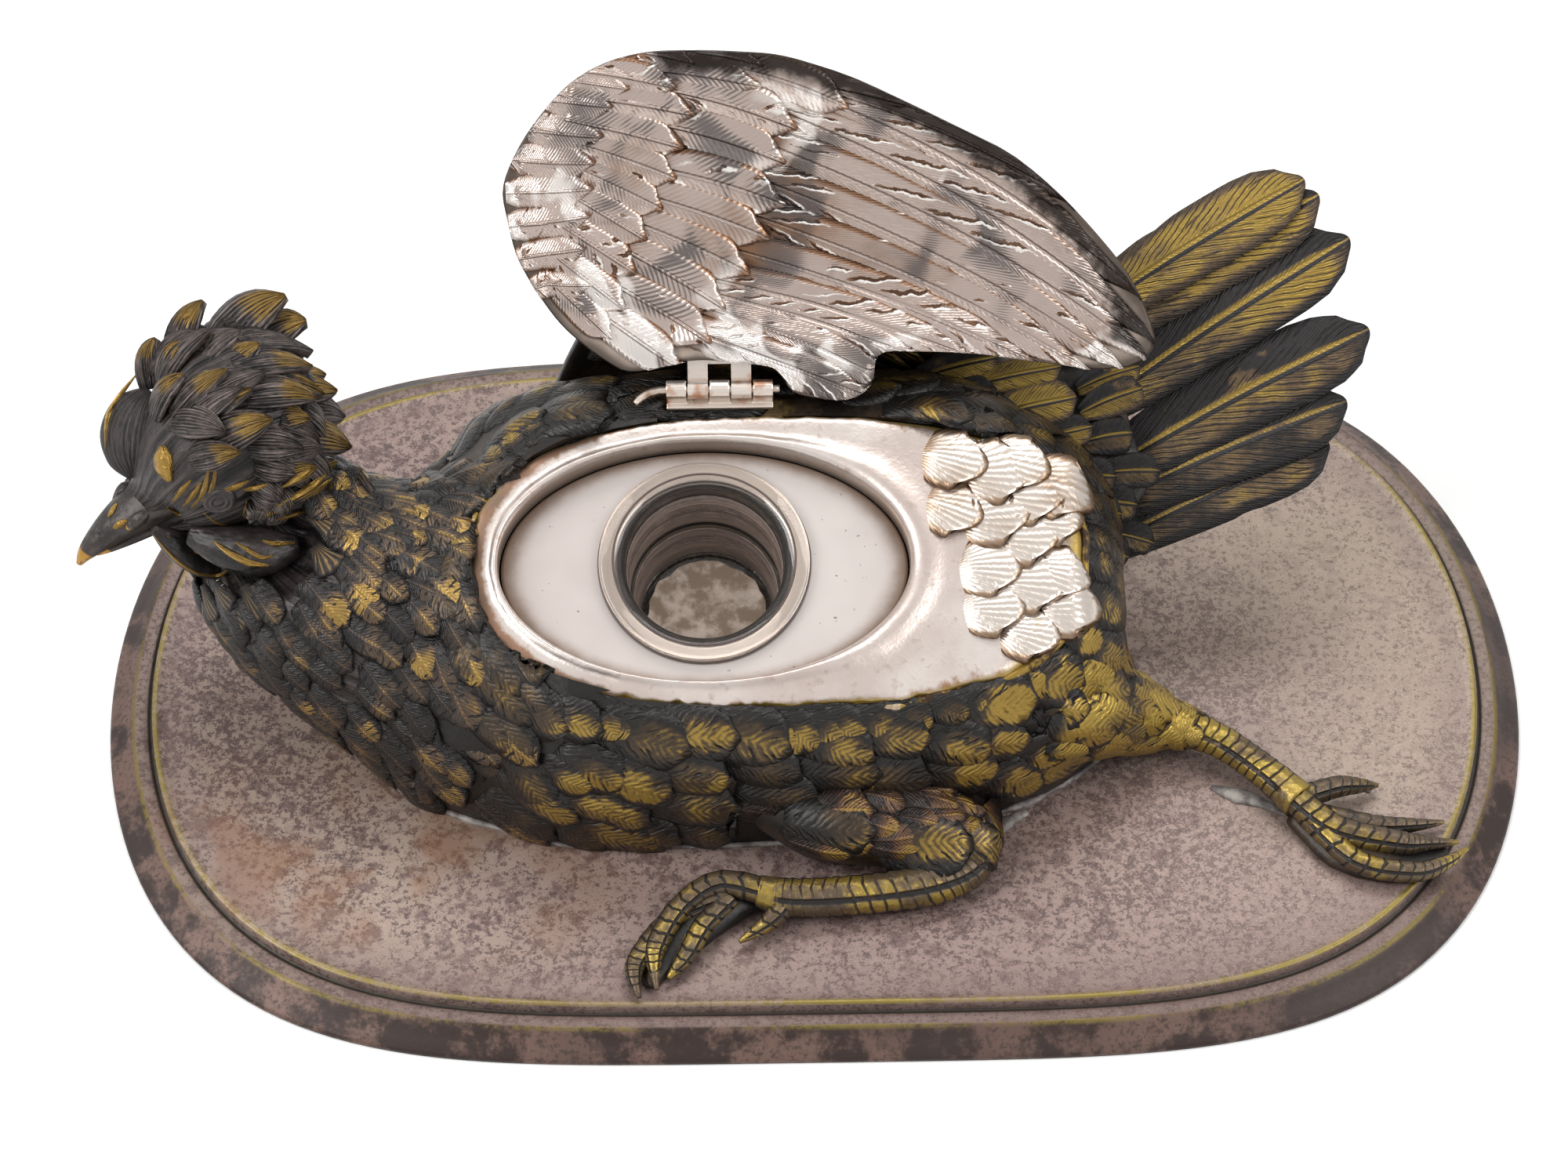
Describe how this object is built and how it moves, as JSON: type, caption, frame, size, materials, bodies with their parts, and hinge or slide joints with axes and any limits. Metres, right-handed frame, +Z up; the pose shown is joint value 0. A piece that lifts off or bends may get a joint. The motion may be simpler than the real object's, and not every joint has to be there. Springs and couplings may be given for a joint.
{
  "type": "figural inkwell",
  "caption": "Patinated bronze game bird lying on an oval base, its near wing a hinged lid over a silvered collar, tray and lift-out glass ink liner",
  "frame": {"origin": "middle of the flat underside of the oval base", "axes": "+Z up, +X towards the tail along the base's length, -Y towards the side that the lid opens from"},
  "size_m": [0.2649, 0.1686, 0.112],
  "materials": {
    "base_bronze": "mottled brown and pink patina, worn to gold along the edges",
    "bird_bronze": "dark brown patina rubbed to greenish gold on the raised feathers",
    "silvered_bronze": "silvered, polished on the high places, brown in the recesses",
    "hinge_metal": "silvered and tarnished, coppery at the ends",
    "liner_glass": "clear moulded glass",
    "fixing_steel": "dull bare steel"
  },
  "bodies": {
    "root": {"base_plinth": "base_bronze", "bird_body": "bird_bronze", "head_and_neck": "bird_bronze", "tail_fan": "bird_bronze", "near_leg": "bird_bronze", "far_leg": "bird_bronze", "rear_wing": "bird_bronze", "well_collar": "silvered_bronze", "tray_plate": "silvered_bronze", "collar_hinge_leaf": "hinge_metal", "hinge_pin": "hinge_metal", "left_fixing_stud": "fixing_steel", "left_fixing_washer": "fixing_steel", "left_fixing_nut": "fixing_steel", "right_fixing_stud": "fixing_steel", "right_fixing_washer": "fixing_steel", "right_fixing_nut": "fixing_steel"},
    "lid": {"lid_wing": "silvered_bronze", "lid_hinge_leaf": "hinge_metal"},
    "glass": {"glass_liner": "liner_glass"}
  },
  "joints": [
    {"name": "lid_hinge", "type": "hinge", "parent": "root", "child": "lid", "pos_m": [-0.0167, 0.01929, 0.06132], "axis": [1, 0, 0], "range_deg": [0, 145]},
    {"name": "glass_lift", "type": "slide", "parent": "root", "child": "glass", "axis": [0, -0.342, 0.9397], "range_m": [0, 0.055]}
  ]
}
